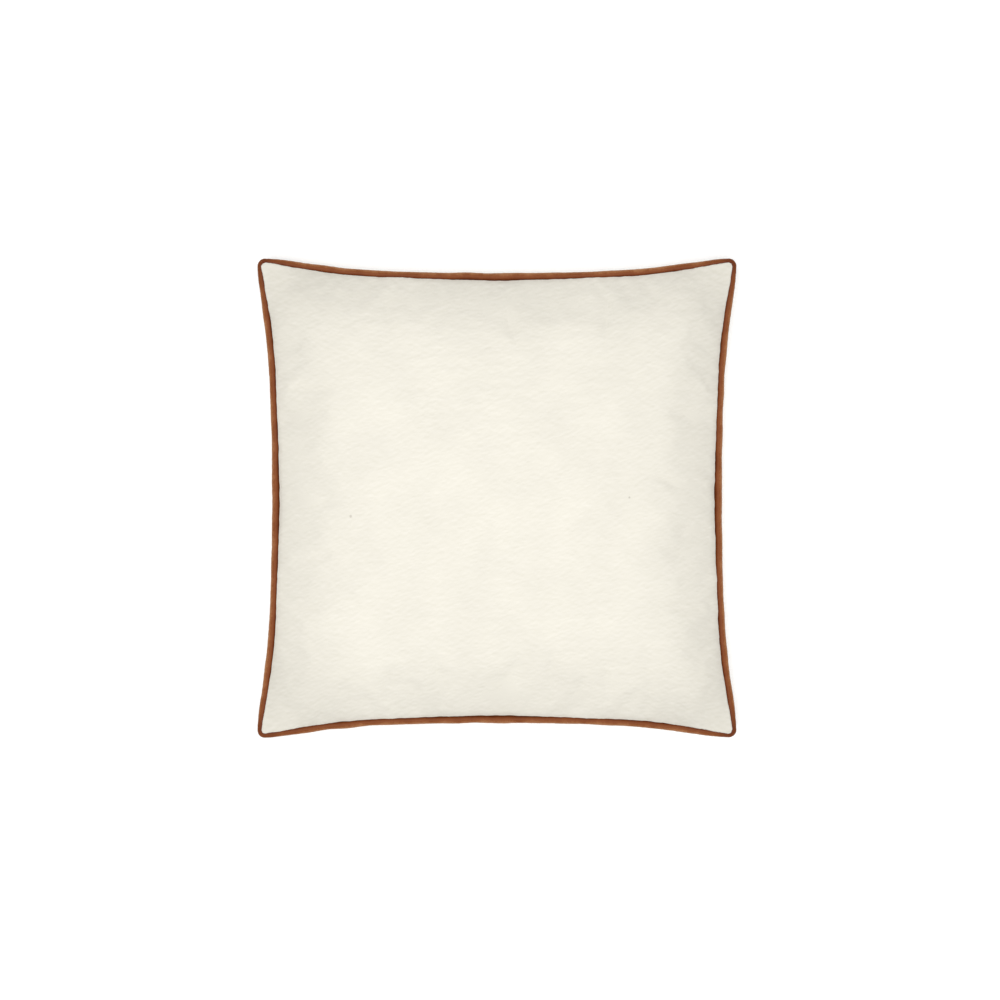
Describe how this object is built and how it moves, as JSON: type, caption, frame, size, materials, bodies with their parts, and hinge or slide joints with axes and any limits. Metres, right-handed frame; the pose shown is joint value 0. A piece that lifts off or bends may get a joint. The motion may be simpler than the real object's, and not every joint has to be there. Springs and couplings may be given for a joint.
{
  "type": "throw pillow",
  "caption": "Square throw pillow: ivory ribbed woven cover, tan leather piping, a coil zip under the piping of the bottom side, and a loose stuffed insert.",
  "frame": {"origin": "middle of the flat patch on the back panel that the pillow rests on, at the middle of its square outline", "axes": "+Z out of the front face, +Y to its top side, +X to its right side seen from the front; the zip is in the bottom (-Y) side"},
  "size_m": [0.5076, 0.5076, 0.131],
  "materials": {
    "woven_cover": "ivory slubbed cotton and linen weave with a fine horizontal rib",
    "piping_leather": "tan leather with a fine grain and a soft sheen",
    "cotton_cord": "twisted cotton piping cord",
    "sewing_thread": "spun polyester sewing thread",
    "label_tape": "blank satin ribbon",
    "zip_tape": "woven polyester zip tape, ivory",
    "zip_coil": "nylon coil, ivory",
    "zip_metal": "antique brass plating",
    "ticking": "white down-proof cotton ticking",
    "fibre_fill": "loose white polyester fibre"
  },
  "bodies": {
    "cushion": {"front_panel": "woven_cover", "back_panel": "woven_cover", "piping_sleeve": "piping_leather", "piping_filler_cord": "cotton_cord", "cover_seam_needle_thread": "sewing_thread", "cover_seam_bobbin_thread": "sewing_thread", "cover_overlock_thread": "sewing_thread", "cover_care_label": "label_tape", "zip_tape_upper": "zip_tape", "zip_tape_lower": "zip_tape", "zip_coil_upper": "zip_coil", "zip_coil_lower": "zip_coil", "zip_top_stops": "zip_metal", "zip_bottom_stop": "zip_metal", "zip_bar_tacks": "sewing_thread", "zip_stitching": "sewing_thread", "insert_front_shell": "ticking", "insert_back_shell": "ticking", "insert_fill": "fibre_fill", "insert_seam_thread": "sewing_thread", "insert_label": "label_tape"},
    "zip_slider": {"zip_slider": "zip_metal"},
    "zip_pull_tab": {"zip_pull_tab": "zip_metal"}
  },
  "joints": [
    {"name": "slider_travel", "type": "hinge", "parent": "cushion", "child": "zip_slider", "pos_m": [0, -2.75745, 0.049], "axis": [0, 0, 1], "range_deg": [0, 6.58]},
    {"name": "pull_tab_swing", "type": "hinge", "parent": "zip_slider", "child": "zip_pull_tab", "pos_m": [0.145, -0.23395, 0.04771], "axis": [0.0287, 0.4992, -0.866], "range_deg": [0, 175]}
  ]
}
